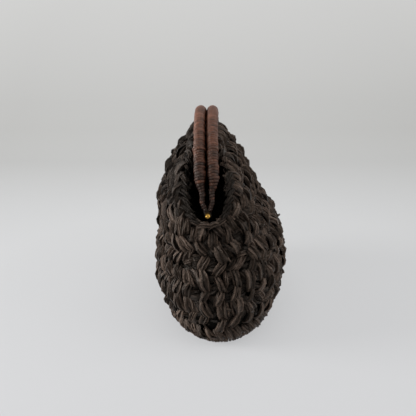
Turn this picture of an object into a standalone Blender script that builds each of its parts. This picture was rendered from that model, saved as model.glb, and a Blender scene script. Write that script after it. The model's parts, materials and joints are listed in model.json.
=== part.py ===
"""Raffia frame bag: a woven oval pouch hung on two wire arches that hinge at its ends.

Metres, +Z up. The origin is the middle of the base, on the floor. +X is one hinge end, -Y the front.
The soft pouch slumps towards the front, so the hinge line lies off the middle of the base.
"""
import math

import bmesh
import bpy
import numpy as np
from mathutils import Matrix, Vector

# Pouch, woven from raffia cord
BASE_HALF_LENGTH = 0.100
BASE_HALF_WIDTH = 0.041
BELLY_HALF_LENGTH = 0.120
BELLY_HALF_WIDTH = 0.0655
BELLY_HEIGHT_AT_SIDES = 0.060
BELLY_HEIGHT_AT_ENDS = 0.045
WALL = 0.007
WALL_FOOT_HEIGHT = 0.008
WALL_SPLIT_HEIGHT = 0.052
BASE_THICKNESS = 0.006
BORDER_RADIUS = 0.0055
BORDER_CLEARANCE = 0.0005
SLUMP = 0.011
SLUMP_START_HEIGHT = 0.082

# Rounds of stitches, which stand proud of the wall in zigzag columns
STITCH_COLUMNS = 38
STITCH_RELIEF = 0.0045
STITCH_LEAN = math.radians(30)
ROUND_PITCH = 0.0146
FIRST_ROUND = 0.0178

# How strongly the wall leaves its base edge, passes its belly and reaches the frame
FOOT_FLARE_AT_ENDS = 0.050
FOOT_FLARE_AT_SIDES = 0.075
FOOT_CLIMB = 0.030
BELLY_CLIMB = 0.065
BACK_ROLL = 0.130
BACK_CREST = 0.135
FRONT_ROLL = 0.120
FRONT_CREST = 0.125
SLIT_CREST = 0.020
PLAN_SQUARENESS = 0.9

# Hinged frame of two wire arches
HINGE_HALF_SPAN = 0.093
HINGE_HEIGHT = 0.121
ARCH_RISE = 0.075
FRAME_TILT = math.radians(2.1)
ROD_RADIUS = 0.0015
STRAND_RADIUS = 0.0016
WINDING_TURNS = 42
LEG_SLEEVE_RADIUS = 0.0028
LEG_SPACING = 0.0028
GRIP_SPACING = 0.0012
GRIP_START = 0.027
SHOULDER_DROP = 0.007
SLEEVE_START = 0.0085

# Rivets and the flattened eyes of the rods
BALL_RADIUS = 0.0026
BALL_FLAT_RADIUS = 0.0019
PIN_RADIUS = 0.0012
PIN_CLEARANCE = 0.00025
INNER_HEAD_RADIUS = 0.0022
INNER_HEAD_THICKNESS = 0.0009
EYE_RADIUS = 0.0032
EYE_THICKNESS = 0.0014
EYE_TIP_RADIUS = 0.0010
ROD_NECK = 0.0045
ROD_BEND_HEIGHT = 0.010

# Mouth: the rim is caught under the arches and opens into a slit at each end
RIM_OVERHANG = 0.0014
RIM_SEAT_GAP = 0.0004
SLIT_REACH = 0.008
SLIT_DROP = 0.005
SLIT_SPREAD = 0.013
SLIT_SHARE = 0.6
SLIT_SKEW = 1.5
SLIT_ROUNDNESS = 0.5
RIM_SPREAD_SHARE = 0.3

# The wall bends on a band beside the hinge line when the mouth opens
FOLD_ANGLE_BELOW = math.radians(28.0)
FOLD_ANGLE_ABOVE = math.radians(9.0)

GAP = 0.0003
POINTS_PER_TURN = 8
FINE_STEPS = 240
RIM_CLIMB = 2.0
SHELL_GROUP = "wall_share"
ROD_POINTS = 41
SLEEVE_POINTS = 5
TURNED_STEPS = 16

# Sizes that follow from those above
OCTAGON_FLAT = math.cos(math.pi / POINTS_PER_TURN)
WINDING_RADIUS = (ROD_RADIUS + GAP + STRAND_RADIUS) / OCTAGON_FLAT
GRIP_RADIUS = WINDING_RADIUS + STRAND_RADIUS
GRIP_OFFSET = GRIP_RADIUS + GRIP_SPACING / 2
LEG_OFFSET = LEG_SLEEVE_RADIUS + LEG_SPACING / 2
RIM_OFFSET = GRIP_OFFSET + RIM_OVERHANG
RIM_SEAT = GRIP_RADIUS + RIM_SEAT_GAP
EYE_SHIFT = (EYE_THICKNESS + GAP) / 2
HINGE_STACK = EYE_THICKNESS + 1.5 * GAP
CUTTER_REACH = 2 * (BELLY_HALF_LENGTH + HINGE_HEIGHT + ARCH_RISE)
FRONT, BACK = -1, 1

for old in list(bpy.data.objects):
    bpy.data.objects.remove(old, do_unlink=True)

bag = bpy.data.collections.new("raffia_frame_bag")
tools = bpy.data.collections.new("cutters")
bpy.context.scene.collection.children.link(bag)
bpy.context.scene.collection.children.link(tools)


def make_material(name, colour, roughness, metallic):
    material = bpy.data.materials.new(name)
    material.use_nodes = True
    shader = material.node_tree.nodes["Principled BSDF"]
    shader.inputs["Base Color"].default_value = (*colour, 1.0)
    shader.inputs["Roughness"].default_value = roughness
    shader.inputs["Metallic"].default_value = metallic
    return material


RAFFIA = make_material("woven_raffia", (0.052, 0.036, 0.026), 0.75, 0.0)
WRAP = make_material("wound_raffia", (0.082, 0.042, 0.028), 0.65, 0.0)
STEEL = make_material("steel_wire", (0.35, 0.34, 0.32), 0.40, 1.0)
BRASS = make_material("brass", (0.62, 0.42, 0.14), 0.28, 1.0)


def add_part(name, data, material):
    part = bpy.data.objects.new(name, data)
    bag.objects.link(part)
    if material.name not in data.materials:
        data.materials.append(material)
    return part


def make_cutter(part):
    for home in list(part.users_collection):
        home.objects.unlink(part)
    tools.objects.link(part)
    part.hide_render = True
    part.display_type = "WIRE"
    return part


def cut(part, cutter, operation):
    modifier = part.modifiers.new(cutter.name, "BOOLEAN")
    modifier.operation = operation
    modifier.object = cutter
    modifier.solver = "EXACT"


def as_mesh(curve_part):
    """The curve's evaluated mesh with its caps welded, as an object of the same name."""
    bpy.context.view_layer.update()
    evaluated = curve_part.evaluated_get(bpy.context.evaluated_depsgraph_get())
    mesh = bpy.data.meshes.new_from_object(evaluated)
    shape = bmesh.new()
    shape.from_mesh(mesh)
    bmesh.ops.remove_doubles(shape, verts=shape.verts, dist=1e-6)
    bmesh.ops.recalc_face_normals(shape, faces=shape.faces)
    shape.to_mesh(mesh)
    shape.free()
    name, place, home = curve_part.name, curve_part.matrix_world.copy(), curve_part.users_collection[0]
    bpy.data.objects.remove(curve_part, do_unlink=True)
    mesh.name = name
    part = bpy.data.objects.new(name, mesh)
    part.matrix_world = place
    home.objects.link(part)
    return part


def add_tube(name, points, radius, resolution, material, cyclic=False):
    curve = bpy.data.curves.new(name, "CURVE")
    curve.dimensions = "3D"
    curve.bevel_depth = radius
    curve.bevel_resolution = resolution
    curve.use_fill_caps = not cyclic
    spline = curve.splines.new("POLY")
    spline.points.add(len(points) - 1)
    for point, place in zip(spline.points, points):
        point.co = (*place, 1.0)
    spline.use_cyclic_u = cyclic
    return add_part(name, curve, material)


# Local X, Y and Z of an outline drawn across the hinge line become world Y, Z and X
ACROSS_HINGE = Matrix(((0, 0, 1, 0), (1, 0, 0, 0), (0, 1, 0, 0), (0, 0, 0, 1)))


def add_plate(name, outline, half_thickness, place, material):
    curve = bpy.data.curves.new(name, "CURVE")
    curve.dimensions = "2D"
    curve.fill_mode = "BOTH"
    curve.extrude = half_thickness
    spline = curve.splines.new("POLY")
    spline.points.add(len(outline) - 1)
    for point, (x, y) in zip(spline.points, outline):
        point.co = (x, y, 0.0, 1.0)
    spline.use_cyclic_u = True
    plate = add_part(name, curve, material)
    plate.matrix_world = place
    return as_mesh(plate)


def add_turned(name, profile, place, material):
    """A profile of (radius, height) points, run down its outer side and turned about local Z."""
    mesh = bpy.data.meshes.new(name)
    points = [(radius, 0.0, height) for radius, height in profile]
    mesh.from_pydata(points, [(i, i + 1) for i in range(len(points) - 1)], [])
    part = add_part(name, mesh, material)
    screw = part.modifiers.new("turn", "SCREW")
    screw.axis = "Z"
    screw.steps = TURNED_STEPS
    screw.render_steps = TURNED_STEPS
    screw.use_merge_vertices = True
    screw.merge_threshold = 1e-6
    part.matrix_world = place
    return part


def smooth(share):
    share = min(max(share, 0.0), 1.0)
    return share * share * (3 - 2 * share)


def signed_power(value, power):
    return math.copysign(abs(value) ** power, value)


def in_frame(along, across, up):
    """A point of the hinged frame, measured from the middle of the hinge line."""
    return Vector((along, -SLUMP + across - math.tan(FRAME_TILT) * up, HINGE_HEIGHT + up))


def slumped(point):
    """The pouch leans to the front as it rises, by the whole slump at the hinge line."""
    lean = SLUMP * smooth((point.z - SLUMP_START_HEIGHT) / (HINGE_HEIGHT - SLUMP_START_HEIGHT))
    lean += math.tan(FRAME_TILT) * max(0.0, point.z - HINGE_HEIGHT)
    return Vector((point.x, point.y - lean, point.z))


def rim_point(turn):
    """The mouth's edge, upright: under the arch over the middle, round the slit at each end."""
    c, s = math.cos(turn), math.sin(turn)
    angle = math.atan2(abs(s), abs(c))
    share = angle / (math.pi / 2)
    caught = smooth(share / SLIT_SHARE)
    reach = (HINGE_HALF_SPAN + SLIT_REACH) * (1 - caught) + (HINGE_HALF_SPAN - RIM_SEAT) * caught
    lift = caught * math.sin(angle) + (1 - caught) * math.sin(angle) ** 2
    up = (ARCH_RISE - RIM_SEAT) * lift - SLIT_DROP * (1 - caught)
    opened = (share / SLIT_SHARE) ** SLIT_SKEW
    spread = math.sin(math.pi * opened) ** SLIT_ROUNDNESS if opened < 1 else 0.0
    across = RIM_OFFSET * smooth(share / RIM_SPREAD_SHARE) + SLIT_SPREAD * spread
    along = reach * math.cos(angle)
    return Vector((math.copysign(along, c), math.copysign(across, s), HINGE_HEIGHT + up))


def hermite(start, start_pull, end, end_pull, t):
    return ((2 * t ** 3 - 3 * t ** 2 + 1) * start + (t ** 3 - 2 * t ** 2 + t) * start_pull
            + (3 * t ** 2 - 2 * t ** 3) * end + (t ** 3 - t ** 2) * end_pull)


def pouch_point(turn, climb):
    """A point of the pouch's outer face.

    Turn runs round the pouch from +X. Climb is 0 at the floor, 1 at the belly and 2 at the rim.
    """
    c, s = math.cos(turn), math.sin(turn)
    along, across = signed_power(c, PLAN_SQUARENESS), signed_power(s, PLAN_SQUARENESS)
    belly_height = BELLY_HEIGHT_AT_SIDES * s * s + BELLY_HEIGHT_AT_ENDS * c * c
    belly = Vector((BELLY_HALF_LENGTH * along, BELLY_HALF_WIDTH * across, belly_height))
    belly_pull = Vector((0, 0, BELLY_CLIMB))
    if climb <= 1:
        foot = Vector((BASE_HALF_LENGTH * along, BASE_HALF_WIDTH * across, 0))
        foot_pull = Vector((FOOT_FLARE_AT_ENDS * along, FOOT_FLARE_AT_SIDES * across, FOOT_CLIMB))
        return slumped(hermite(foot, foot_pull, belly, belly_pull, climb))
    roll, crest = (BACK_ROLL, BACK_CREST) if s >= 0 else (FRONT_ROLL, FRONT_CREST)
    rim_pull = Vector((0, -roll * s, crest * abs(s) + SLIT_CREST * c * c))
    return slumped(hermite(belly, belly_pull, rim_point(turn), rim_pull, climb - 1))


def foot_climb(turn):
    """Where the wall's outer face stands at its foot height above the floor."""
    low, high = 0.0, 1.0
    for _ in range(40):
        middle = (low + high) / 2
        if pouch_point(turn, middle).z < WALL_FOOT_HEIGHT:
            low = middle
        else:
            high = middle
    return high


def run_lengths(places):
    """The length along a line of places to each of them."""
    return np.concatenate(([0.0], np.cumsum(np.linalg.norm(np.diff(places, axis=0), axis=1))))


def even_turns(count):
    """Turns at equal steps round the belly."""
    fine = [2 * math.pi * i / FINE_STEPS for i in range(FINE_STEPS + 1)]
    lengths = run_lengths(np.array([pouch_point(turn, 1.0) for turn in fine]))
    return np.interp(np.arange(count) / count * lengths[-1], lengths, fine).tolist()


def round_climbs(turn):
    """Climbs of the wall's foot, its plain lowest band, the ends of its rounds of stitches and its rim."""
    climbs = np.linspace(foot_climb(turn), RIM_CLIMB, FINE_STEPS).tolist()
    lengths = run_lengths(np.array([pouch_point(turn, climb) for climb in climbs]))
    ends = np.arange(FIRST_ROUND, lengths[-1] - ROUND_PITCH / 2, ROUND_PITCH)
    return np.interp([0.0, FIRST_ROUND / 2, *ends, lengths[-1]], lengths, climbs).tolist()


def outward(behind, ahead, low, high):
    """The wall's outward direction, from its turns to either side and its climbs below and above."""
    middle = (behind + ahead) / 2
    round_wall = pouch_point(ahead, low) - pouch_point(behind, low)
    upward = pouch_point(middle, high) - pouch_point(middle, low)
    return round_wall.cross(upward).normalized()


# Base, border and wall of the pouch
mesh_columns = 2 * STITCH_COLUMNS
turns = even_turns(mesh_columns)
steps = [(turns[(i + 1) % mesh_columns] - turns[i]) % (2 * math.pi) for i in range(mesh_columns)]
climbs = [round_climbs(turn) for turn in turns]

# The border roll lies below the middle of the wall's bottom edge
border = []
for turn, step, (foot, band, *_) in zip(turns, steps, climbs):
    edge = pouch_point(turn, foot)
    upward = (pouch_point(turn, band) - edge).normalized()
    outside = outward(turn - step, turn + step, foot, band)
    border.append(edge - outside * WALL / 2 - upward * (BORDER_RADIUS + BORDER_CLEARANCE))
as_mesh(add_tube("base_border", border, BORDER_RADIUS, 1, RAFFIA, cyclic=True))

base_outline = []
for i, place in enumerate(border):
    ahead, behind = border[(i + 1) % mesh_columns], border[i - 1]
    inward = Vector((behind.y - ahead.y, ahead.x - behind.x)).normalized()
    base_outline.append(place.xy + inward * (BORDER_RADIUS + GAP))
base_place = Matrix.Translation((0, 0, BASE_THICKNESS / 2))
add_plate("woven_base", base_outline, BASE_THICKNESS / 2, base_place, RAFFIA)

# The wall's outer face, with a ridge down every other mesh column that zigzags from round to round
column_spacing = 2 * (pouch_point(turns[1], 1.0) - pouch_point(turns[0], 1.0)).length
zigzag = ROUND_PITCH / 2 * math.tan(STITCH_LEAN) / column_spacing
surface = bpy.data.meshes.new("pouch_surface")
shape = bmesh.new()
wall_shares = shape.verts.layers.deform.verify()
columns = []
for i, (turn, step) in enumerate(zip(turns, steps)):
    column = []
    for row, climb in enumerate(climbs[i]):
        plain = row < 2 or climb == climbs[i][-1]
        shifted = turn if plain else turn + 2 * step * zigzag * (-1) ** (row + 1)
        sunk = 0.0 if plain or i % 2 == 0 else STITCH_RELIEF
        place = pouch_point(shifted, climb)
        if sunk:
            place -= outward(shifted - step, shifted + step, climb, climbs[i][row + 1]) * sunk
        column.append(shape.verts.new(place))
        column[-1][wall_shares][0] = 1 - sunk / WALL
    columns.append(column)
most_rows = max(len(column) for column in columns)
for column in columns:
    column += [column[-1]] * (most_rows - len(column))
for i, column in enumerate(columns):
    following = columns[(i + 1) % mesh_columns]
    for row in range(most_rows - 1):
        corners = dict.fromkeys((column[row], following[row], following[row + 1], column[row + 1]))
        if len(corners) > 2:
            shape.faces.new(corners)
shape.to_mesh(surface)
shape.free()
surface.shade_smooth()


def add_wall(name, sector):
    """The part of the pouch's wall inside a sector drawn across the hinge line."""
    cutter = make_cutter(add_plate(name + "_sector", sector, CUTTER_REACH, ACROSS_HINGE, RAFFIA))
    part = add_part(name, surface, RAFFIA)
    if SHELL_GROUP not in part.vertex_groups:
        part.vertex_groups.new(name=SHELL_GROUP)
    solidify = part.modifiers.new("wall", "SOLIDIFY")
    solidify.thickness = WALL
    solidify.offset = -1.0
    solidify.vertex_group = SHELL_GROUP
    cut(part, cutter, "INTERSECT")
    return part


def from_hinge(side, angle, distance, clear=0.0):
    """A (y, z) point at an angle above the level on one side of the hinge line, moved clear of that ray."""
    return (-SLUMP + side * (distance * math.cos(angle) - clear * math.sin(angle)),
            HINGE_HEIGHT + distance * math.sin(angle) + clear * math.cos(angle))


def add_arch_hinge(name):
    """An empty on the hinge line, which carries the pieces that swing with one arch."""
    hinge = bpy.data.objects.new(name, None)
    hinge.location = in_frame(0, 0, 0)
    bag.objects.link(hinge)
    return hinge


def hang(part, hinge):
    part.parent = hinge
    part.matrix_parent_inverse = Matrix.Translation(-hinge.location)


arch_hinges = {}
far, half_gap = CUTTER_REACH, GAP / 2
add_wall("foot_wall", [
    (-far, -far), (far, -far), (far, WALL_SPLIT_HEIGHT - half_gap), (-far, WALL_SPLIT_HEIGHT - half_gap)])
split_drop = HINGE_HEIGHT - WALL_SPLIT_HEIGHT - half_gap * (1 + math.cos(FOLD_ANGLE_BELOW))
split_reach = split_drop / math.sin(FOLD_ANGLE_BELOW)
add_wall("belly_wall", [
    from_hinge(BACK, -FOLD_ANGLE_BELOW, 0.0, -half_gap),
    from_hinge(FRONT, -FOLD_ANGLE_BELOW, split_reach, -half_gap),
    from_hinge(BACK, -FOLD_ANGLE_BELOW, split_reach, -half_gap)])
for side, label in ((FRONT, "front"), (BACK, "back")):
    arch_hinges[side] = add_arch_hinge(label + "_arch_hinge")
    add_wall(label + "_fold", [
        from_hinge(side, -FOLD_ANGLE_BELOW, GAP, half_gap),
        from_hinge(side, -FOLD_ANGLE_BELOW, far, half_gap),
        from_hinge(side, FOLD_ANGLE_ABOVE, far, -half_gap),
        from_hinge(side, FOLD_ANGLE_ABOVE, GAP, -half_gap)])
    panel = add_wall(label + "_panel", [
        from_hinge(side, FOLD_ANGLE_ABOVE, GAP, half_gap),
        from_hinge(side, FOLD_ANGLE_ABOVE, far, half_gap),
        from_hinge(side, math.pi / 2 + side * FRAME_TILT, far),
        from_hinge(side, math.pi / 2, GAP)])
    hang(panel, arch_hinges[side])


# Hinged arches: a wire with flattened eyes, wound with raffia over the grip and sleeved on the legs
def arch_point(side, angle):
    along, up = HINGE_HALF_SPAN * math.cos(angle), ARCH_RISE * math.sin(angle)
    spread = smooth((up - GRIP_START + SHOULDER_DROP) / SHOULDER_DROP)
    across = (LEG_OFFSET + (GRIP_OFFSET - LEG_OFFSET) * spread) * min(1.0, up / ROD_BEND_HEIGHT)
    shift = -side * EYE_SHIFT * (1 - smooth(up / ROD_BEND_HEIGHT))
    return in_frame(along + math.copysign(shift, along * shift), side * across, up)


def arch_points(side, up_from, up_to, count):
    """Points over the arch, or up one leg where the two heights differ."""
    first = math.asin(up_from / ARCH_RISE)
    last = math.asin(up_to / ARCH_RISE) if up_to != up_from else math.pi - first
    return [arch_point(side, first + (last - first) * i / (count - 1)) for i in range(count)]


def wound_strand(side):
    """One helix of equal steps along the grip, from shoulder to shoulder."""
    fine = np.array(arch_points(side, GRIP_START, GRIP_START, 721))
    lengths = run_lengths(fine)
    count = WINDING_TURNS * POINTS_PER_TURN + 1
    stations = np.linspace(0.0, lengths[-1], count)
    middle = np.stack([np.interp(stations, lengths, fine[:, axis]) for axis in range(3)], axis=1)
    along = np.gradient(middle, axis=0)
    along /= np.linalg.norm(along, axis=1, keepdims=True)
    sideways = np.array((0.0, 1.0, 0.0)) - along * along[:, 1:2]
    sideways /= np.linalg.norm(sideways, axis=1, keepdims=True)
    outward = np.cross(along, sideways)
    angle = side * 2 * math.pi * np.arange(count)[:, None] / POINTS_PER_TURN
    return middle + WINDING_RADIUS * (np.cos(angle) * sideways + np.sin(angle) * outward)


def least_gap(points):
    """The least clear distance between points of a strand that lie over half a turn apart."""
    apart = np.linalg.norm(points[:, None] - points[None], axis=2)
    order = np.arange(len(points))
    apart[np.abs(order[:, None] - order[None]) <= POINTS_PER_TURN // 2] = np.inf
    return apart.min() - 2 * STRAND_RADIUS


hinge_hole = bmesh.new()
bmesh.ops.create_cone(hinge_hole, cap_ends=True, segments=TURNED_STEPS, radius1=PIN_RADIUS + PIN_CLEARANCE,
                      radius2=PIN_RADIUS + PIN_CLEARANCE, depth=CUTTER_REACH)
hole_mesh = bpy.data.meshes.new("hinge_hole")
hinge_hole.to_mesh(hole_mesh)
hinge_hole.free()
hole_cutter = make_cutter(add_part("hinge_hole", hole_mesh, STEEL))
hole_cutter.matrix_world = Matrix.Translation(in_frame(0, 0, 0)) @ ACROSS_HINGE


def add_eye(name, side, end):
    """A flattened wire end: a disc round the hinge line that tapers into the rod."""
    rod_way = math.atan2(ROD_BEND_HEIGHT, side * LEG_OFFSET - math.tan(FRAME_TILT) * ROD_BEND_HEIGHT)
    tip_distance = (ROD_NECK + ROD_BEND_HEIGHT) / 2
    outline = []
    for centre, radius, start in ((0.0, EYE_RADIUS, rod_way + math.pi / 2),
                                  (tip_distance, EYE_TIP_RADIUS, rod_way - math.pi / 2)):
        for i in range(TURNED_STEPS // 2 + 1):
            angle = start + 2 * math.pi * i / TURNED_STEPS
            outline.append((centre * math.cos(rod_way) + radius * math.cos(angle),
                            centre * math.sin(rod_way) + radius * math.sin(angle)))
    place = Matrix.Translation(in_frame(end * (HINGE_HALF_SPAN - side * EYE_SHIFT), 0, 0))
    return make_cutter(add_plate(name, outline, EYE_THICKNESS / 2, place @ ACROSS_HINGE, STEEL))


for side, label in ((FRONT, "front"), (BACK, "back")):
    wire = arch_points(side, ROD_NECK, ROD_NECK, ROD_POINTS)
    rod = as_mesh(add_tube(label + "_rod", wire, ROD_RADIUS, 2, STEEL))
    hang(rod, arch_hinges[side])
    for end, end_label in ((1, "near"), (-1, "far")):
        cut(rod, add_eye(f"{label}_{end_label}_eye", side, end), "UNION")
    cut(rod, hole_cutter, "DIFFERENCE")

    strand = wound_strand(side)
    print(f"{label} winding: least gap to itself {least_gap(strand) * 1000:.2f} mm")
    hang(add_tube(label + "_grip_winding", strand, STRAND_RADIUS, 1, WRAP), arch_hinges[side])

    sleeve_top = GRIP_START - STRAND_RADIUS - GAP
    leg = arch_points(side, SLEEVE_START, sleeve_top, SLEEVE_POINTS)
    past = [leg[0] - (leg[1] - leg[0])] + leg + [leg[-1] + (leg[-1] - leg[-2])]
    for end, end_label in ((1, "near"), (-1, "far")):
        name = f"{label}_{end_label}_leg_sleeve"
        mirrored = [[Vector((end * p.x, p.y, p.z)) for p in points] for points in (leg, past)]
        sleeve = as_mesh(add_tube(name, mirrored[0], LEG_SLEEVE_RADIUS, 2, WRAP))
        bore = as_mesh(add_tube(name + "_bore", mirrored[1], (ROD_RADIUS + GAP) / OCTAGON_FLAT, 2, WRAP))
        cut(sleeve, make_cutter(bore), "DIFFERENCE")
        hang(sleeve, arch_hinges[side])


# Rivets: a ball outside, a pin through both eyes and a flat head inside
ball_middle = HINGE_STACK + math.sqrt(BALL_RADIUS ** 2 - BALL_FLAT_RADIUS ** 2)
ball_start = -math.acos(BALL_FLAT_RADIUS / BALL_RADIUS)
ball_steps = TURNED_STEPS // 3
rivet_profile = [(0.0, ball_middle + BALL_RADIUS)]
for i in range(1, ball_steps + 1):
    angle = math.pi / 2 + (ball_start - math.pi / 2) * i / ball_steps
    rivet_profile.append((BALL_RADIUS * math.cos(angle), ball_middle + BALL_RADIUS * math.sin(angle)))
rivet_profile += [(PIN_RADIUS, HINGE_STACK), (PIN_RADIUS, -HINGE_STACK), (INNER_HEAD_RADIUS, -HINGE_STACK),
                  (INNER_HEAD_RADIUS, -HINGE_STACK - INNER_HEAD_THICKNESS),
                  (0.0, -HINGE_STACK - INNER_HEAD_THICKNESS)]
for end, end_label in ((1, "near"), (-1, "far")):
    place = Matrix.Translation(in_frame(end * HINGE_HALF_SPAN, 0, 0))
    facing = Matrix.Rotation(end * math.pi / 2, 4, "Y")
    add_turned(end_label + "_hinge_rivet", rivet_profile, place @ facing, BRASS)
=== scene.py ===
"""Looks of a raffia frame bag: a woven oval pouch on two wound wire arches with brass ball hinges."""
import json
import math

import bmesh
import bpy
import numpy as np
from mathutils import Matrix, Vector

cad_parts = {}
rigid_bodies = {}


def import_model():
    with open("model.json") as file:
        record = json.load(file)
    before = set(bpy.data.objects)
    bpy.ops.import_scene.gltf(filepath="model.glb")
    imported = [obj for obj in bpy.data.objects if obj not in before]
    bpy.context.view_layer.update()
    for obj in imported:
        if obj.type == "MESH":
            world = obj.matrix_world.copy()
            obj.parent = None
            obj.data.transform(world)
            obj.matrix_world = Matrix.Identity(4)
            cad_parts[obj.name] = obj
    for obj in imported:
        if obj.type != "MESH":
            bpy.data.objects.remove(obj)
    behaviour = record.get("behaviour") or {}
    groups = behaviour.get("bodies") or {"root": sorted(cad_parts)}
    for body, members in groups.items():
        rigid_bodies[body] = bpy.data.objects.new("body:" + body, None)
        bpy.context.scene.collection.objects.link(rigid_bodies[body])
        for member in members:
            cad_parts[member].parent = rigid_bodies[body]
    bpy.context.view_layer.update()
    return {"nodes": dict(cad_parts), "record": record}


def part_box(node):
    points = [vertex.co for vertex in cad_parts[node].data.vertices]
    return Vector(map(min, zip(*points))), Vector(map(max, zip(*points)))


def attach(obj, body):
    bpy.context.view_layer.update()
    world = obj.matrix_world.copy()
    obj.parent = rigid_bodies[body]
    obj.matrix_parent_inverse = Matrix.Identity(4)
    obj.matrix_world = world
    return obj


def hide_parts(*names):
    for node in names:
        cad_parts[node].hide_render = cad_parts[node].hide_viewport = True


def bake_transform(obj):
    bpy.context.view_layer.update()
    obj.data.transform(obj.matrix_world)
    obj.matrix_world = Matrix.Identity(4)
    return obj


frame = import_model()

# Woven base
# The oval base is worked flat in rounds from a middle line, in dyed palm raffia: flat ribbons bunched
# into plump stitches that crease along their length. The same stitches make the rest of the pouch.


def add_node(tree, kind, values=(), **settings):
    """A node with its settings, and with inputs set or linked by name or place."""
    node = tree.nodes.new(kind)
    for key, value in settings.items():
        setattr(node, key, value)
    for key, value in dict(values).items():
        if isinstance(value, bpy.types.NodeSocket):
            tree.links.new(value, node.inputs[key])
        else:
            node.inputs[key].default_value = value
    return node


def made(tree, kind, values=(), **settings):
    """The first output of a new node."""
    return add_node(tree, kind, values, **settings).outputs[0]


def maths(tree, operation, first, second=0.0):
    """One step of arithmetic on numbers or sockets."""
    return made(tree, "ShaderNodeMath", {0: first, 1: second}, operation=operation)


def times(tree, first, second):
    return maths(tree, "MULTIPLY", first, second)


def blend_sum(tree, *weighted):
    """The sum of values, each times its weight."""
    total = 0.0
    for value, weight in weighted:
        total = maths(tree, "ADD", times(tree, value, weight), total)
    return total


def between(tree, share, low, high):
    """A share of 0 to 1, spread from low to high."""
    return made(tree, "ShaderNodeMapRange", {"Value": share, "To Min": low, "To Max": high})


def noise(tree, place, scale, detail, roughness=0.5):
    return add_node(tree, "ShaderNodeTexNoise", {"Vector": place, "Scale": scale, "Detail": detail,
                                                 "Roughness": roughness}).outputs["Fac"]


def colour_ramp(tree, factor, stops):
    """A colour that runs through stops, each a place and its colour."""
    ramp = add_node(tree, "ShaderNodeValToRGB", {"Fac": factor})
    elements = ramp.color_ramp.elements
    while len(elements) < len(stops):
        elements.new(0.5)
    for element, (place, colour) in zip(elements, stops):
        element.position = place
        element.color = (*colour, 1.0)
    return ramp.outputs["Color"]


def start_material(name):
    """A new node material, with its tree and its shader."""
    material = bpy.data.materials.new(name)
    material.use_nodes = True
    return material, material.node_tree, material.node_tree.nodes["Principled BSDF"]


FIBRES_ACROSS, FIBRES_ALONG, TONE_SHIFT = 3.0, 6.0, 50.0
DARK_STOP, MIDDLE_STOP, PALE_STOP = 0.42, 0.67, 0.95
ROUGHNESS_SPREAD, FIBRE_RELIEF = 0.12, 0.0008
RAFFIA_SPECULAR_TINT = (1.0, 0.80, 0.68, 1.0)


def make_raffia(name, dark, middle, pale, roughness, gloss, relief):
    """Raffia ribbon: each strand has its own tone, painted shade in its folds and a painted highlight on its
    ridges, darkened as marked.
    """
    material, tree, shader = start_material(name)
    shader.inputs["Specular IOR Level"].default_value = gloss
    shader.inputs["Specular Tint"].default_value = RAFFIA_SPECULAR_TINT
    across, along, tone, strand_tone, ridge, deep_dye = [
        add_node(tree, "ShaderNodeAttribute", attribute_name=label).outputs["Fac"]
        for label in ("fibre_across", "fibre_along", "tone", "strand_tone", "ridge", "deep_dye")]
    place = made(tree, "ShaderNodeCombineXYZ", {0: times(tree, across, FIBRES_ACROSS),
                                                1: times(tree, along, FIBRES_ALONG),
                                                2: times(tree, tone, TONE_SHIFT)})
    fibre = noise(tree, place, scale=2.0, detail=4.0, roughness=0.65)
    body = add_node(tree, "ShaderNodeTexCoord").outputs["Object"]
    patch = noise(tree, body, scale=45.0, detail=2.0)
    # The ridge mark paints highlights on crests and shade in folds; the darkening mark adds painted shade or
    # upper-front darkening.
    shade = blend_sum(tree, (tone, 0.18), (strand_tone, 0.20), (ridge, 0.24), (fibre, 0.58), (patch, 0.10),
                      (deep_dye, -0.18))
    colour = colour_ramp(tree, shade, ((DARK_STOP, dark), (MIDDLE_STOP, middle), (PALE_STOP, pale)))
    tree.links.new(colour, shader.inputs["Base Color"])
    rough = between(tree, fibre, roughness - ROUGHNESS_SPREAD, roughness + ROUGHNESS_SPREAD)
    tree.links.new(rough, shader.inputs["Roughness"])
    bump = add_node(tree, "ShaderNodeBump", {"Height": fibre, "Strength": relief, "Distance": FIBRE_RELIEF})
    tree.links.new(bump.outputs[0], shader.inputs["Normal"])
    return material


stitch_raffia = make_raffia("stitch_raffia", dark=(0.0065, 0.0056, 0.0045), middle=(0.040, 0.0285, 0.0215),
                            pale=(0.165, 0.116, 0.089), roughness=0.40, gloss=0.22, relief=1.1)
# The ground's colours are far darker than the stitches': painted shade for the gaps and hollows it fills.
ground_raffia = make_raffia("ground_raffia", dark=(0.0055, 0.0055, 0.0045), middle=(0.013, 0.011, 0.009),
                            pale=(0.030, 0.024, 0.020), roughness=0.85, gloss=0.05, relief=0.8)


def mark_points(mesh, label, values, kind="FLOAT"):
    """A named value at each point of a mesh, which node trees and materials read."""
    key = "vector" if kind == "FLOAT_VECTOR" else "value"
    mesh.attributes.new(label, kind, "POINT").data.foreach_set(key, np.ravel(values))


def finished_mesh(shape, name, *materials):
    """A plain mesh of a closed shape, with its faces turned outwards."""
    bmesh.ops.recalc_face_normals(shape, faces=shape.faces)
    mesh = bpy.data.meshes.new(name)
    shape.to_mesh(mesh)
    shape.free()
    for material in materials:
        mesh.materials.append(material)
    return mesh


CREASE_ANGLE = math.radians(55)
STITCH_LIFT, STITCH_CROWN, STITCH_ROLL, ROLL_SPREAD, FIBRE_SHIFT = 0.85, 1.2, 1.3, 0.6, 1.7
PINCHED_WIDTH, PINCHED_GIRTH, SECTION_WIDTH, SECTION_HEIGHT, SECTION_RISE = 0.76, 0.62, 0.92, 0.56, 1.5
GIRTHS, SWELLS, STARTS, STOPS = (0.80, 1.25), (0.78, 1.22), (-0.03, 0.09), (0.91, 1.03)
SWAYS, PHASES, SWAY_WAVES, LIFT_WAVES, TWIST_WAVES, TWIST = (0.03, 0.11), (0, 6.3), 5, 8, 4, 0.5
PINCH_POWER, LIFT_POWER, END_MARGIN, RIPPLE = 0.6, 0.4, 0.03, 0.05


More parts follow.
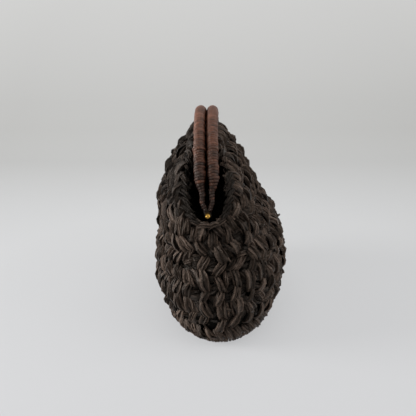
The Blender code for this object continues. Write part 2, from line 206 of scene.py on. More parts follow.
def make_stitch_pattern(group, index, strands, sides, steps, unevenness=0.23):
    """A stitch of unit size: strands side by side that arch up and dive in at both ends."""
    draw = np.random.default_rng(100 * strands + index)
    verts, faces, marks = [], [], []
    for strand in range(strands):
        spot = (strand + 0.5) / strands - 0.5
        lift = STITCH_LIFT + draw.uniform(-unevenness, unevenness) - STITCH_CROWN * spot * spot
        girth = draw.uniform(*GIRTHS) / strands
        roll = STITCH_ROLL * spot + draw.uniform(-ROLL_SPREAD, ROLL_SPREAD)
        sway, phase = draw.uniform(*SWAYS), draw.uniform(*PHASES)
        start, stop = draw.uniform(*STARTS), draw.uniform(*STOPS)
        strand_tone = draw.uniform(0, 1)
        first = len(verts)
        for step in range(steps + 1):
            t = start + (stop - start) * step / steps
            arch = math.sin(math.pi * min(max(t, END_MARGIN), 1 - END_MARGIN))
            pinch = PINCHED_WIDTH + (1 - PINCHED_WIDTH) * arch ** PINCH_POWER
            middle_x = spot * pinch + sway * math.sin(SWAY_WAVES * t + phase)
            middle_z = lift * arch ** LIFT_POWER - 0.5 + 0.5 * sway * math.sin(LIFT_WAVES * t + phase)
            swell = girth * (PINCHED_GIRTH + (1 - PINCHED_GIRTH) * arch) * draw.uniform(*SWELLS)
            middle_z += draw.uniform(-RIPPLE, RIPPLE)
            twist = roll + TWIST * math.sin(TWIST_WAVES * t + phase)
            for side in range(sides):
                angle = 2 * math.pi * side / sides + math.pi / 2
                wide = SECTION_WIDTH * swell * math.cos(angle)
                high = SECTION_HEIGHT * swell * math.sin(angle)
                verts.append((middle_x + wide * math.cos(twist) + high * math.sin(twist), t - 0.5,
                              middle_z + SECTION_RISE * (high * math.cos(twist) - wide * math.sin(twist))))
                # ridge is 1 at each strand's crest, for a painted highlight there and painted shade in the
                # folds
                marks.append((strand * FIBRE_SHIFT + side / sides, t, strand_tone, float(side == 0)))
        for step in range(steps):
            for side in range(sides):
                a, b = first + step * sides + side, first + step * sides + (side + 1) % sides
                faces.append((a, b, b + sides, a + sides))
        faces.append(tuple(first + side for side in reversed(range(sides))))
        faces.append(tuple(first + steps * sides + side for side in range(sides)))
    mesh = bpy.data.meshes.new(f"{group.name}_{index}")
    mesh.from_pydata(verts, [], faces)
    for label, values in zip(("fibre_across", "fibre_along", "strand_tone", "ridge"), zip(*marks)):
        mark_points(mesh, label, values)
    shape = bmesh.new()
    shape.from_mesh(mesh)
    bmesh.ops.recalc_face_normals(shape, faces=shape.faces)
    shape.to_mesh(mesh)
    shape.free()
    mesh.shade_smooth()
    mesh.set_sharp_from_angle(angle=CREASE_ANGLE)
    group.objects.link(bpy.data.objects.new(mesh.name, mesh))


PATTERN_COUNT = 8
full_stitches = bpy.data.collections.new("full_stitch")
slim_stitches = bpy.data.collections.new("slim_stitch")
plump_loops = bpy.data.collections.new("plump_loop")
for index in range(PATTERN_COUNT):
    make_stitch_pattern(full_stitches, index, strands=5, sides=3, steps=4)
    make_stitch_pattern(slim_stitches, index, strands=3, sides=3, steps=3)
    make_stitch_pattern(plump_loops, index, strands=4, sides=4, steps=4, unevenness=0.05)


def start_tree(name, **inputs):
    """A geometry tree, with the names of its inputs listed by kind, and the sockets that give them."""
    tree = bpy.data.node_groups.new(name, "GeometryNodeTree")
    tree.interface.new_socket("Geometry", in_out="OUTPUT", socket_type="NodeSocketGeometry")
    for kind, labels in inputs.items():
        for label in labels:
            tree.interface.new_socket(label, in_out="INPUT", socket_type="NodeSocket" + kind)
    return tree, add_node(tree, "NodeGroupInput").outputs


def end_tree(tree, geometry, finish):
    """Ends a tree in real geometry of one finish."""
    real = made(tree, "GeometryNodeRealizeInstances", {"Geometry": geometry})
    finished = made(tree, "GeometryNodeSetMaterial", {"Geometry": real, "Material": finish})
    add_node(tree, "NodeGroupOutput", {"Geometry": finished})


def store(tree, geometry, label, value, domain="POINT"):
    """Geometry with a value kept on it under a name."""
    inputs = {"Geometry": geometry, "Name": label, "Value": value}
    return made(tree, "GeometryNodeStoreNamedAttribute", inputs, data_type="FLOAT", domain=domain)


def stored(tree, label, kind="FLOAT"):
    node = add_node(tree, "GeometryNodeInputNamedAttribute", {"Name": label}, data_type=kind)
    return node.outputs["Attribute"]


def make_stitch_layer():
    """Lays stitch patterns on points: flat on the wall, leaning as each point says, all a little unlike."""
    tree, given = start_tree("lay_stitches", Geometry=["Geometry"], Collection=["Patterns"], Int=["Seed"],
                             Float=["Width", "Length", "Height", "Lean", "Lean Spread", "Tip Spread",
                                    "Size Spread"], Material=["Finish"])

    def chance(low, high, offset, kind="FLOAT"):
        low_place, high_place, out_place = {"FLOAT": (2, 3, 1), "INT": (4, 5, 2)}[kind]
        values = {low_place: low, high_place: high, "Seed": maths(tree, "ADD", given["Seed"], offset)}
        return add_node(tree, "FunctionNodeRandomValue", values, data_type=kind).outputs[out_place]

    def spread(label, offset):
        return times(tree, chance(-1.0, 1.0, offset), given[label])

    def turned(rotation, axis, angle):
        turn = made(tree, "FunctionNodeAxisAngleToRotation", {"Axis": axis, "Angle": angle})
        return made(tree, "FunctionNodeRotateRotation", {0: rotation, 1: turn}, rotation_space="LOCAL")

    wall_out, wall_up = [stored(tree, label, "FLOAT_VECTOR") for label in ("wall_out", "wall_up")]
    flat = made(tree, "FunctionNodeAlignRotationToVector", {"Vector": wall_out}, axis="Z")
    upright = made(tree, "FunctionNodeAlignRotationToVector", {"Rotation": flat, "Vector": wall_up},
                   axis="Y", pivot_axis="Z")
    lean = maths(tree, "ADD", times(tree, stored(tree, "lean_way"), given["Lean"]), spread("Lean Spread", 1))
    rotation = turned(upright, (0.0, 0.0, 1.0), lean)
    rotation = turned(rotation, (1.0, 0.0, 0.0), spread("Tip Spread", 4))
    rotation = turned(rotation, (0.0, 1.0, 0.0), spread("Tip Spread", 5))
    sizes = []
    for place, label in enumerate(("Width", "Length", "Height")):
        size = times(tree, maths(tree, "ADD", spread("Size Spread", 10 + place), 1.0), given[label])
        sizes.append(times(tree, size, stored(tree, "size")))
    sizes[0] = times(tree, sizes[0], stored(tree, "breadth"))
    scale = made(tree, "ShaderNodeCombineXYZ", dict(enumerate(sizes)))
    choice = made(tree, "GeometryNodeCollectionInfo", {"Collection": given["Patterns"],
                                                       "Separate Children": True, "Reset Children": True})
    laid = made(tree, "GeometryNodeInstanceOnPoints",
                {"Points": given["Geometry"], "Instance": choice, "Pick Instance": True,
                 "Instance Index": chance(0, PATTERN_COUNT - 1, 2, "INT"), "Rotation": rotation,
                 "Scale": scale})
    end_tree(tree, store(tree, laid, "tone", chance(0.0, 1.0, 3), "INSTANCE"), given["Finish"])
    return tree


stitch_layer = make_stitch_layer()


def add_object(name, mesh):
    piece = bpy.data.objects.new(name, mesh)
    bpy.context.scene.collection.objects.link(piece)
    return piece


def grown(name, seed_mesh, tree, **amounts):
    """Runs a node tree on a mesh, with amounts for its inputs, and keeps what it grows as a plain object."""
    inputs = {label.replace("_", " ").title(): value for label, value in amounts.items()}
    maker = add_object(name + "_maker", seed_mesh)
    modifier = maker.modifiers.new("grow", "NODES")
    modifier.node_group = tree
    for item in tree.interface.items_tree:
        if item.in_out == "INPUT" and item.name in inputs:
            modifier[item.identifier] = inputs[item.name]
    bpy.context.view_layer.update()
    mesh = bpy.data.meshes.new_from_object(maker.evaluated_get(bpy.context.evaluated_depsgraph_get()))
    mesh.name = name
    bpy.data.objects.remove(maker, do_unlink=True)
    return add_object(name, mesh)


def lay_stitches(name, spots, patterns=full_stitches, **amounts):
    """Stitches at spots, each a place with the wall's outward and upward directions, lean and size."""
    mesh = bpy.data.meshes.new(name + "_spots")
    mesh.from_pydata([tuple(place) for place in spots["place"]], [], [])
    count = len(spots["place"])
    mark_points(mesh, "wall_out", spots["out"], "FLOAT_VECTOR")
    mark_points(mesh, "wall_up", spots["up"], "FLOAT_VECTOR")
    mark_points(mesh, "lean_way", spots["way"])
    mark_points(mesh, "size", spots["size"])
    mark_points(mesh, "breadth", spots.get("breadth", np.ones(count)))
    mark_points(mesh, "deep_dye", spots.get("deep_dye", np.zeros(count)))
    return grown(name, mesh, stitch_layer, patterns=patterns, finish=stitch_raffia, **amounts)


def join_pieces(name, pieces):
    """Several laid pieces as one mesh object."""
    shape = bmesh.new()
    for piece in pieces:
        shape.from_mesh(piece.data)
    mesh = bpy.data.meshes.new(name)
    shape.to_mesh(mesh)
    shape.free()
    for material in pieces[0].data.materials:
        mesh.materials.append(material)
    for piece in pieces:
        bpy.data.objects.remove(piece, do_unlink=True)
    return add_object(name, mesh)


def unit(vectors):
    """Vectors of length 1."""
    return vectors / np.linalg.norm(vectors, axis=-1, keepdims=True)


def signed_power(value, power):
    return np.sign(value) * np.abs(value) ** power


FOOT_SQUARENESS, BELLY_SQUARENESS = 1.0, 0.9


def oval(turn, half_length, half_width, squareness=FOOT_SQUARENESS):
    """Points of the bag's plan outline, an oval that is a little square at the belly."""
    c, s = np.cos(turn), np.sin(turn)
    return half_length * signed_power(c, squareness), half_width * signed_power(s, squareness)


base_low, base_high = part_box("woven_base")
border_low, border_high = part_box("base_border")
BASE_ROUNDS, BASE_STITCH_STEP = 5, 0.0105
UNDER_STITCH_HEIGHT, UPPER_STITCH_DEPTH = 0.0042, 0.0026
BASE_MAT_THICKNESS, BASE_MAT_POINTS = 0.0016, 96
base_half_length, base_half_width = base_high[0], base_high[1]
middle_line = base_half_length - base_half_width
border_radius = (border_high[2] - border_low[2]) / 2
border_half_length, border_half_width = border_high[0] - border_radius, border_high[1] - border_radius
base_spots = {"place": [], "out": [], "up": [], "way": [], "size": []}
for ring in range(BASE_ROUNDS):
    share = (ring + 0.5) / BASE_ROUNDS
    count = int((4 * middle_line + 2 * math.pi * share * base_half_width) / BASE_STITCH_STEP)
    for facing, height in ((-1, base_low[2] + UNDER_STITCH_HEIGHT), (1, base_high[2] - UPPER_STITCH_DEPTH)):
        for turn in np.arange(count) / count * 2 * math.pi:
            x, y = oval(turn, base_half_length, base_half_width)
            inner = x * middle_line / base_half_length
            base_spots["place"].append((inner + (x - inner) * share, y * share, height))
            base_spots["out"].append((0.0, 0.0, facing))
            base_spots["up"].append((x - inner, y, 0.0))
            base_spots["way"].append(1.0 if ring % 2 else -1.0)
            base_spots["size"].append(1.0)
base_weave = lay_stitches("base_weave", base_spots, patterns=slim_stitches, width=0.0098, length=0.0125,
                          height=0.0040, lean=0.5, lean_spread=0.15, size_spread=0.08, seed=3)

# A thin mat between the two faces reaches into the border, coloured dark as painted shade
mat_shape = bmesh.new()
mat_turns = np.linspace(0, 2 * math.pi, BASE_MAT_POINTS + 1)[:-1]
mat_rings = []
for side in (-1, 1):
    height = (base_low[2] + base_high[2] + side * BASE_MAT_THICKNESS) / 2
    x, y = oval(mat_turns, border_half_length, border_half_width)
    mat_rings.append([mat_shape.verts.new((a, b, height)) for a, b in zip(x, y)])
    mat_shape.faces.new(mat_rings[-1])
for a in range(len(mat_turns)):
    b = (a + 1) % len(mat_turns)
    mat_shape.faces.new([mat_rings[0][a], mat_rings[0][b], mat_rings[1][b], mat_rings[1][a]])
base_mat = add_object("base_mat", finished_mesh(mat_shape, "base_mat", ground_raffia))
for piece in (base_weave, base_mat):
    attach(piece, "pouch")
    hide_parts("woven_base")

# Base border
# A thick round of bunched raffia is whipped over the edge where base and wall meet, so that the rim of
# the base shows as a row of slanting turns. It bears on the floor, and is pressed flat there.
TONES_PER_TURN, TURN_TONE_CONTRAST, TURN_TONE_DROP = 1.7, 3.6, 1.3


def make_winder():
    """Winds strands round a path: a helix that follows the path's own core radius and sideways direction."""
    tree, given = start_tree("wind_strands", Geometry=["Geometry"],
                             Int=["Turns", "Steps Per Turn", "Strands", "Seed"],
                             Float=["Strand Width", "Strand Thickness", "Wobble"], Material=["Finish"])

    def vector_maths(operation, first, second):
        place = "Scale" if operation == "SCALE" else 1
        return made(tree, "ShaderNodeVectorMath", {0: first, place: second}, operation=operation)

    def rough_noise(position, offset):
        place = maths(tree, "ADD", position, maths(tree, "ADD", given["Seed"], offset))
        return add_node(tree, "ShaderNodeTexNoise", {"W": place, "Scale": 1.0, "Detail": 1.0},
                        noise_dimensions="1D").outputs["Fac"]

    path = made(tree, "GeometryNodeMeshToCurve", {0: given["Geometry"]})
    count = times(tree, given["Turns"], given["Steps Per Turn"])
    path = made(tree, "GeometryNodeResampleCurve", {"Curve": path, "Count": count}, mode="COUNT")
    factor = add_node(tree, "GeometryNodeSplineParameter").outputs["Factor"]
    turned = times(tree, factor, given["Turns"])
    angle = times(tree, turned, 2 * math.pi)
    tangent = made(tree, "GeometryNodeInputTangent")
    sideways = stored(tree, "sideways", "FLOAT_VECTOR")
    other = vector_maths("CROSS_PRODUCT", tangent, sideways)
    radial = vector_maths("ADD", vector_maths("SCALE", sideways, maths(tree, "COSINE", angle)),
                          vector_maths("SCALE", other, maths(tree, "SINE", angle)))
    radial = made(tree, "ShaderNodeVectorMath", {0: radial}, operation="NORMALIZE")
    lift = maths(tree, "SUBTRACT", rough_noise(turned, offset=7.3), 0.5)
    swell = maths(tree, "ADD", times(tree, lift, given["Wobble"]), 1.0)
    radius = times(tree, stored(tree, "core_radius"), swell)
    turn_tone = rough_noise(times(tree, turned, TONES_PER_TURN), offset=3.1)
    turn_tone = maths(tree, "SUBTRACT", times(tree, turn_tone, TURN_TONE_CONTRAST), TURN_TONE_DROP)
    marked = path
    for label, value in (("tone", rough_noise(turned, offset=31.7)), ("strand_tone", turn_tone),
                         ("fibre_along", turned)):
        marked = store(tree, marked, label, value)
    kept = add_node(tree, "GeometryNodeCaptureAttribute", domain="POINT")
    kept.capture_items.new("VECTOR", "Radial")
    tree.links.new(marked, kept.inputs["Geometry"])
    tree.links.new(radial, kept.inputs["Radial"])
    offset = vector_maths("SCALE", radial, radius)
    wound = made(tree, "GeometryNodeSetPosition", {"Geometry": kept.outputs["Geometry"], "Offset": offset})
    facing = made(tree, "GeometryNodeSetCurveNormal", {"Curve": wound, "Normal": kept.outputs["Radial"]},
                  mode="FREE")
    ring = made(tree, "GeometryNodeCurvePrimitiveCircle", {"Resolution": 6, "Radius": 0.5})
    ring_place = made(tree, "GeometryNodeInputPosition")
    # ridge: 1 on a ribbon's outer face, 0 on its inner, for a painted highlight and painted shade
    outer = maths(tree, "ADD", add_node(tree, "ShaderNodeSeparateXYZ", {0: ring_place}).outputs["X"], 0.5)
    for label, value in (("fibre_across", factor), ("ridge", outer)):
        ring = store(tree, ring, label, value)
    strand_width = maths(tree, "DIVIDE", given["Strand Width"], given["Strands"])
    section = made(tree, "ShaderNodeCombineXYZ", {0: given["Strand Thickness"], 1: strand_width, 2: 1.0})
    ring = made(tree, "GeometryNodeTransform", {"Geometry": ring, "Scale": section})
    half = times(tree, maths(tree, "SUBTRACT", given["Strand Width"], strand_width), -0.5)
    first, step = [made(tree, "ShaderNodeCombineXYZ", {1: value}) for value in (half, strand_width)]
    row = made(tree, "GeometryNodeMeshLine", {"Count": given["Strands"], "Start Location": first,
                                              "Offset": step}, mode="OFFSET")
    bunch = made(tree, "GeometryNodeInstanceOnPoints", {"Points": row, "Instance": ring})
    bunch = made(tree, "GeometryNodeRealizeInstances", {"Geometry": bunch})
    tube = made(tree, "GeometryNodeCurveToMesh", {"Curve": facing, "Profile Curve": bunch,
                                                  "Fill Caps": True})
    end_tree(tree, tube, given["Finish"])
    return tree


winder = make_winder()


def wind(name, points, sideways, core_radius, deep_dye, closed, **amounts):
    """A winding round a line of points."""
    mesh = bpy.data.meshes.new(name + "_path")
    edges = [(i, i + 1) for i in range(len(points) - 1)]
    if closed:
        edges.append((len(points) - 1, 0))
    mesh.from_pydata([tuple(point) for point in points], edges, [])
    mark_points(mesh, "sideways", sideways, "FLOAT_VECTOR")
    mark_points(mesh, "core_radius", core_radius)
    mark_points(mesh, "deep_dye", deep_dye)
    return grown(name, mesh, winder, **amounts)


BORDER_STRAND_THICKNESS, BORDER_STRAND_WIDTH, BORDER_TURNS = 0.0026, 0.0090, 66
BORDER_POINTS, BORDER_FLOOR_GAP, WINDING_WOBBLE = 240, 0.0003, 0.36
border_turns = np.linspace(math.pi, 3 * math.pi, BORDER_POINTS + 1)[:-1]
x, y = oval(border_turns, border_half_length, border_half_width)
border_points = np.stack([x, y, np.full_like(x, border_low[2] + border_radius)], axis=-1)
forward = np.roll(border_points, -1, axis=0) - np.roll(border_points, 1, axis=0)
border_out = unit(np.cross(forward, (0.0, 0.0, 1.0)))
border_core = np.full(BORDER_POINTS, border_radius - BORDER_STRAND_THICKNESS / 2)
border = wind("border_weave", border_points, border_out, border_core, np.zeros(BORDER_POINTS), closed=True,
              turns=BORDER_TURNS, steps_per_turn=12, strands=3, strand_width=BORDER_STRAND_WIDTH,
              strand_thickness=BORDER_STRAND_THICKNESS, wobble=WINDING_WOBBLE, seed=5, finish=stitch_raffia)
for vertex in border.data.vertices:
    vertex.co.z = max(vertex.co.z, border_low[2] + BORDER_FLOOR_GAP)
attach(border, "pouch")
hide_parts("base_border")

# Pouch wall, below the hinges
# The wall is worked in rounds from the border: plump stitches in upright columns, each round leaning the
# other way, so that the columns zigzag, with small stitches deeper between them and a plain inner face.
hinge = np.array(frame["record"]["behaviour"]["joints"][0]["pos_m"])
HINGE_HALF_SPAN, ARCH_RISE, FRAME_TILT = 0.093, 0.075, math.radians(2.1)
SLUMP, SLUMP_START_HEIGHT = -hinge[1], 0.082
RIM_SEAT, RIM_OFFSET, RIM_SPREAD_SHARE, FAR_RIM_SPREAD_SHARE = 0.0057, 0.0073, 0.3, 0.7
SLIT_REACH, SLIT_DROP, SLIT_SPREAD = 0.008, 0.005, 0.013
SLIT_SHARE, SLIT_SKEW, SLIT_ROUNDNESS, FAR_SLIT_SHARE = 0.6, 1.25, 0.4, 0.08
FOOT_HALF_LENGTH, FOOT_HALF_WIDTH = 0.100, 0.041
BELLY_HALF_LENGTH, BELLY_HALF_WIDTH = 0.120, 0.0655
BELLY_HEIGHT_AT_SIDES, BELLY_HEIGHT_AT_ENDS = 0.060, 0.045
FOOT_FLARE_AT_ENDS, FOOT_FLARE_AT_SIDES, FOOT_CLIMB, BELLY_CLIMB = 0.050, 0.075, 0.030, 0.065
BACK_ROLL, BACK_CREST, FRONT_ROLL, FRONT_CREST, SLIT_CREST = 0.130, 0.135, 0.120, 0.125, 0.020
WALL_FOOT_HEIGHT = 0.008


def smooth(share):
    """A share of 0 to 1, eased at both ends."""
    share = np.clip(share, 0.0, 1.0)
    return share * share * (3 - 2 * share)


def rim_point(turn):
    """The mouth's edge before the slump: under the arch over the middle, round a slit at each end."""
    c, s = np.cos(turn), np.sin(turn)
    angle = np.arctan2(np.abs(s), np.abs(c))
    share = angle / (math.pi / 2)
    caught = smooth(share / SLIT_SHARE)
    reach = (HINGE_HALF_SPAN + SLIT_REACH) * (1 - caught) + (HINGE_HALF_SPAN - RIM_SEAT) * caught
    lift = caught * np.sin(angle) + (1 - caught) * np.sin(angle) ** 2
    opened = np.clip(share / SLIT_SHARE, 0, 1) ** SLIT_SKEW
    spread = np.sin(math.pi * opened).clip(0) ** SLIT_ROUNDNESS * np.where(c < 0, FAR_SLIT_SHARE, 1.0)
    parted = smooth(share / np.where(c < 0, FAR_RIM_SPREAD_SHARE, RIM_SPREAD_SHARE))
    across = RIM_OFFSET * parted + SLIT_SPREAD * spread
    up = (ARCH_RISE - RIM_SEAT) * lift - SLIT_DROP * (1 - caught)
    return np.stack([np.sign(c) * reach * np.cos(angle), np.sign(s) * across, hinge[2] + up], axis=-1)


def hermite(start, start_pull, end, end_pull, t):
    """Points of a smooth curve between two ends, each with its pull."""
    t = t[..., None]
    return ((2 * t ** 3 - 3 * t ** 2 + 1) * start + (t ** 3 - 2 * t ** 2 + t) * start_pull
            + (3 * t ** 2 - 2 * t ** 3) * end + (t ** 3 - t ** 2) * end_pull)


def pouch_points(turn, climb):
    """Points of the pouch's outer face: climb is 0 at the floor, 1 at the belly and 2 at the rim."""
    turn, climb = np.broadcast_arrays(np.asarray(turn, float), np.asarray(climb, float))
    c, s = np.cos(turn), np.sin(turn)
    zero = np.zeros_like(c)
    belly_height = BELLY_HEIGHT_AT_SIDES * s * s + BELLY_HEIGHT_AT_ENDS * c * c
    belly_plan = oval(turn, BELLY_HALF_LENGTH, BELLY_HALF_WIDTH, BELLY_SQUARENESS)
    belly = np.stack([*belly_plan, belly_height], axis=-1)
    belly_pull = np.stack([zero, zero, zero + BELLY_CLIMB], axis=-1)
    foot = np.stack([*oval(turn, FOOT_HALF_LENGTH, FOOT_HALF_WIDTH), zero], axis=-1)
    foot_pull = np.stack([*oval(turn, FOOT_FLARE_AT_ENDS, FOOT_FLARE_AT_SIDES), zero + FOOT_CLIMB], axis=-1)
    roll = np.where(s >= 0, BACK_ROLL, FRONT_ROLL)
    crest = np.where(s >= 0, BACK_CREST, FRONT_CREST)
    rim_pull = np.stack([zero, -roll * s, crest * np.abs(s) + SLIT_CREST * c * c], axis=-1)
    lower = hermite(foot, foot_pull, belly, belly_pull, np.clip(climb, 0, 1))
    upper = hermite(belly, belly_pull, rim_point(turn), rim_pull, np.clip(climb - 1, 0, 1))
    points = np.where((climb <= 1)[..., None], lower, upper)
    height = points[..., 2]
    lean = SLUMP * smooth((height - SLUMP_START_HEIGHT) / (hinge[2] - SLUMP_START_HEIGHT))
    points[..., 1] -= lean + math.tan(FRAME_TILT) * np.maximum(0, height - hinge[2])
    return points


def lengths_along(points):
    """The length along a line of points, up to each of them."""
    return np.concatenate(([0], np.cumsum(np.linalg.norm(np.diff(points, axis=0), axis=1))))


def wall_profile(turn, low=WALL_FOOT_HEIGHT, samples=1200):
    """Climbs up the wall at a turn, from a low height to its rim, and the length along the wall to each."""
    climbs = np.linspace(0, 2, samples)
    points = pouch_points(turn, climbs)
    first = np.argmax(points[:, 2] > low)
    return climbs[first:], lengths_along(points[first:])


def wall_frames(turn, climb):
    """Place, outward, upward and sideways directions of the wall at turns and climbs."""
    step = 1e-3
    turn, climb = np.asarray(turn, float), np.asarray(climb, float)
    above, below = [pouch_points(turn, np.clip(climb + change, 0, 2)) for change in (step, -step)]
    up = unit(above - below)
    side = pouch_points(turn + step, climb) - pouch_points(turn - step, climb)
    out = unit(np.cross(side, up))
    return pouch_points(turn, climb), out, up, np.cross(up, out)


FINE_TURNS = 2001


def equal_turns(climb, count, shift=0.0):
    """Turns at equal steps along the wall's line at a climb."""
    turns = np.linspace(0, 2 * math.pi, FINE_TURNS)
    lengths = lengths_along(pouch_points(turns, climb))
    return np.interp((np.arange(count) + shift) / count * lengths[-1], lengths, turns)


COLUMNS, ROUND_PITCH, ROUND_START, EDGED_LENGTH, LOWER_WALL_TOP = 38, 0.0135, 0.55, 0.0165, 0.085
EVEN_ROUND_SIZE, ODD_ROUND_SIZE, STITCH_SIZES = 1.04, 0.92, (0.92, 1.06)
LEAST_BREADTH, BREADTH_POWER = 0.45, 1.7
BULGE_PLACE, BULGE_RADIUS, BULGE_HEIGHT = (-0.008, -0.050, 0.146), 0.012, 0.0045
FRONT_DARKENING_START, FRONT_DARKENING_RISE = 0.105, 0.035


def wall_spots(seed, shift=0.0, row_shift=0.0, depth=0.0, loose=0.0007, kept=1.0, painted_shade=0.0, inward=False):
    """Stitch spots in columns all over the wall, with a whole number of rounds in each."""
    draw = np.random.default_rng(seed)
    turns, climbs, rounds = [], [], []
    for turn in equal_turns(1.0, COLUMNS, shift):
        column_climbs, lengths = wall_profile(turn)
        top = lengths[-1] - EDGED_LENGTH
        rows = round(top / ROUND_PITCH - ROUND_START)
        pitch = top / (rows + ROUND_START)
        for row in range(1, int(rows - row_shift) + 1):
            if draw.uniform() > kept:
                continue
            turns.append(turn)
            climbs.append(np.interp((row + ROUND_START + row_shift) * pitch, lengths, column_climbs))
            rounds.append(row)
    turns, climbs = np.array(turns), np.array(climbs)
    step = 0.01
    spans = [np.linalg.norm(pouch_points(turns + step, level) - pouch_points(turns - step, level), axis=-1)
             for level in (climbs, 1.0)]
    place, out, up, side = wall_frames(turns, climbs)
    count = len(turns)
    place = place - out * (depth + draw.uniform(-loose, loose, count))[:, None]
    place = place + side * draw.normal(0, loose, count)[:, None] + up * draw.normal(0, loose, count)[:, None]
    from_bulge = np.linalg.norm(place - BULGE_PLACE, axis=1)
    place = place + out * (BULGE_HEIGHT * np.exp(-(from_bulge / BULGE_RADIUS) ** 2))[:, None]
    even = np.array(rounds) % 2 == 0
    return {"place": place, "out": -out if inward else out, "up": up, "turn": turns,
            "breadth": np.clip(spans[0] / spans[1], LEAST_BREADTH, 1.0) ** BREADTH_POWER,
            "deep_dye": painted_shade + upper_front_darkening(turns, place), "way": np.where(even, 1.0, -1.0),
            "size": np.where(even, EVEN_ROUND_SIZE, ODD_ROUND_SIZE) * draw.uniform(*STITCH_SIZES, count)}


def upper_front_darkening(turns, places):
    """How much darker the stitches are at places on the wall: on the upper front only, more with height."""
    return np.where(np.sin(turns) < 0, smooth((places[:, 2] - FRONT_DARKENING_START) / FRONT_DARKENING_RISE), 0.0)


def chosen(spots, choice):
    """Some of the spots, with all that is said of them."""
    return {key: values[choice] for key, values in spots.items()}


stitches = dict(width=0.0096, length=0.0198, height=0.0086, size_spread=0.16, lean=math.radians(24),
                lean_spread=math.radians(12), tip_spread=math.radians(9))
strays = dict(width=0.0036, length=0.0125, height=0.0050, size_spread=0.25, lean=math.radians(45),
              lean_spread=math.radians(60), tip_spread=math.radians(8), patterns=slim_stitches)
fillers = dict(width=0.0082, length=0.0135, height=0.0050, size_spread=0.22, lean=math.radians(60),
               lean_spread=math.radians(50), tip_spread=math.radians(14), patterns=slim_stitches)
inner_stitches = dict(width=0.0130, length=0.0190, height=0.0034, size_spread=0.10, lean=math.radians(30),
                      lean_spread=math.radians(8), tip_spread=math.radians(4), patterns=slim_stitches)
# The two filler layers lie deep between the columns and are darkened (1.1 and 1.8) as painted shade there.
wall_layers = ((wall_spots(7, depth=0.0036, loose=0.0011), stitches),
               (wall_spots(10, shift=0.3, row_shift=0.23, depth=0.0036, loose=0.0014, kept=0.4), strays),
               (wall_spots(8, shift=0.5, row_shift=0.48, depth=0.0060, loose=0.0013, painted_shade=1.1), fillers),
               (wall_spots(9, depth=0.0082, inward=True), inner_stitches),
               (wall_spots(12, shift=0.5, depth=0.0066, loose=0.0013, painted_shade=1.8), fillers))


def weave_wall(name, region, seed):
    """The wall's stitches within a region, as one piece."""
    layers = []
    for number, (spots, amounts) in enumerate(wall_layers):
        inside = chosen(spots, region(spots))
        layers.append(lay_stitches(f"{name}_{number}", inside, seed=seed + number, **amounts))
    piece = join_pieces(name, layers)
    return piece


# The lowest round is of short slanting stitches, close together
FOOT_STITCHES, FOOT_ROW_CLIMB, FOOT_ROW_LOW, FOOT_ROW_END, FOOT_ROW_DEPTH = 60, 0.3, 0.0034, 0.0100, 0.0030
foot_turns = equal_turns(FOOT_ROW_CLIMB, FOOT_STITCHES)
foot_ends = []
for turn in foot_turns:
    climbs, lengths = wall_profile(turn)
    foot_ends.append([(*oval(turn, border_high[0], border_high[1]), FOOT_ROW_LOW),
                      pouch_points(turn, np.interp(FOOT_ROW_END, lengths, climbs))])
foot_ends = np.array(foot_ends)
up = foot_ends[:, 1] - foot_ends[:, 0]
out = unit(np.cross(np.roll(foot_ends[:, 0], -1, axis=0) - np.roll(foot_ends[:, 0], 1, axis=0), up))
foot_spots = {"place": foot_ends.mean(axis=1) - FOOT_ROW_DEPTH * out, "out": out, "up": up,
              "way": np.ones(FOOT_STITCHES), "size": np.ones(FOOT_STITCHES)}
foot_weave = lay_stitches("foot_weave", foot_spots, patterns=plump_loops, width=0.0072, length=0.0170,
                          height=0.0085, size_spread=0.14, lean=math.radians(40),
                          lean_spread=math.radians(8), tip_spread=math.radians(6), seed=17)
for vertex in foot_weave.data.vertices:
    vertex.co.z = max(vertex.co.z, border_low[2] + BORDER_FLOOR_GAP)
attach(foot_weave, "pouch")
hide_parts("foot_wall")

lower_weave = weave_wall("lower_weave", lambda spots: spots["place"][:, 2] < LOWER_WALL_TOP, seed=11)
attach(lower_weave, "pouch")
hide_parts("foot_wall", "belly_wall")

# Ground of the wall
# Behind the plump stitches the worked raffia is a dense mat, coloured far darker than the stitches as
# painted shade, and shows only in the gaps between them. It is one fabric with the stitches, and comes out
# to the cord at the mouth's edge.
GROUND_DEPTH, GROUND_THICKNESS, GROUND_OVERLAP, GROUND_FOOT_HEIGHT = 0.0064, 0.0010, 0.006, 0.0025
GROUND_COLUMNS, GROUND_ROWS = 96, 16
GROUND_RIM_GAP, GROUND_RIM_RISE, GROUND_RIM_LENGTH = 0.0006, 0.0036, 0.012
ABOVE_THE_RIM = 1.0


